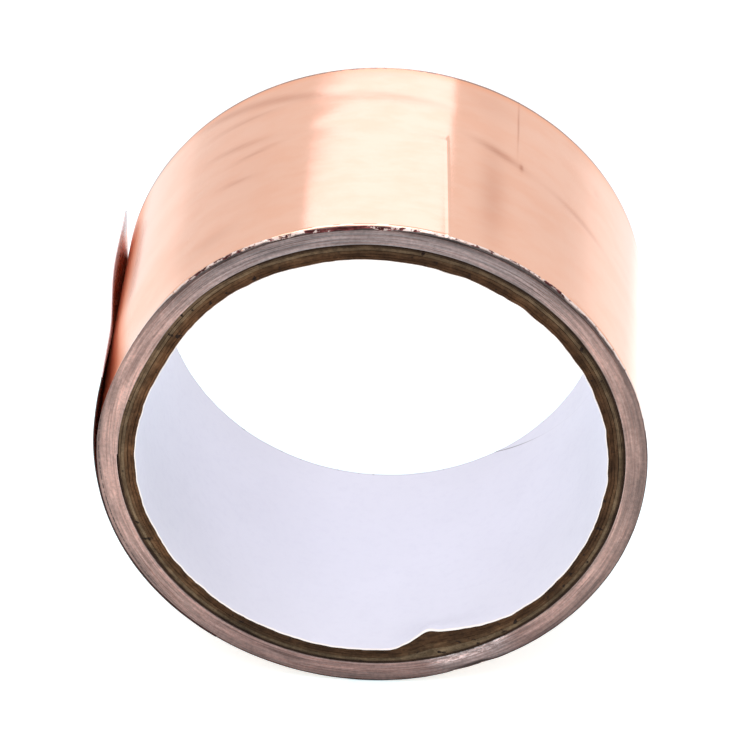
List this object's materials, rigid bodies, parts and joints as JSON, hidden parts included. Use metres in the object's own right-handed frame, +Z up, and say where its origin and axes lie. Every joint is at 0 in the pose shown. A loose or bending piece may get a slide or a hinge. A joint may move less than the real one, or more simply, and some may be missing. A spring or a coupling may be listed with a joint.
{
  "type": "copper foil tape roll",
  "caption": "Roll of copper foil tape with adhesive and paper liner, wound on a white-lined paperboard core, its loose end lifting off the roll.",
  "frame": {"origin": "centre of the core's bore, halfway along it", "axes": "+Y along the bore, +Z up with the roll standing on its rim, the tape's loose end on the -X side"},
  "size_m": [0.0896, 0.0508, 0.0889],
  "materials": {
    "copper_foil": "satin",
    "acrylic_adhesive": "gloss",
    "release_liner": "satin",
    "kraft_board": "matte",
    "grey_board": "matte",
    "white_lining": "satin"
  },
  "bodies": {
    "roll": {"core_lining": "white_lining", "core_inner_ply": "kraft_board", "core_second_ply": "grey_board", "core_middle_ply": "grey_board", "core_fourth_ply": "kraft_board", "core_outer_ply": "kraft_board", "liner_windings": "release_liner", "adhesive_windings": "acrylic_adhesive", "foil_windings": "copper_foil", "outer_wrap_liner": "release_liner", "outer_wrap_adhesive": "acrylic_adhesive", "outer_wrap_foil": "copper_foil"},
    "peeled_strip": {"strip_liner": "release_liner", "strip_adhesive": "acrylic_adhesive", "strip_foil": "copper_foil"},
    "liner_tail": {"tail_liner": "release_liner", "bonded_adhesive": "acrylic_adhesive", "bonded_foil": "copper_foil"},
    "foil_tail": {"tail_adhesive": "acrylic_adhesive", "tail_foil": "copper_foil"}
  },
  "joints": [
    {"name": "strip_peel", "type": "hinge", "parent": "roll", "child": "peeled_strip", "pos_m": [-0.02564, 0, -0.03653], "axis": [0, -1, 0], "range_deg": [0, 35]},
    {"name": "tail_lift", "type": "hinge", "parent": "peeled_strip", "child": "liner_tail", "pos_m": [-0.04209, 0, -0.01527], "axis": [0, -1, 0], "range_deg": [0, 80]},
    {"name": "foil_peel", "type": "hinge", "parent": "liner_tail", "child": "foil_tail", "pos_m": [-0.04406, 0, -0.00776], "axis": [-0.0018, -1, -0.0023], "range_deg": [0, 60]}
  ]
}
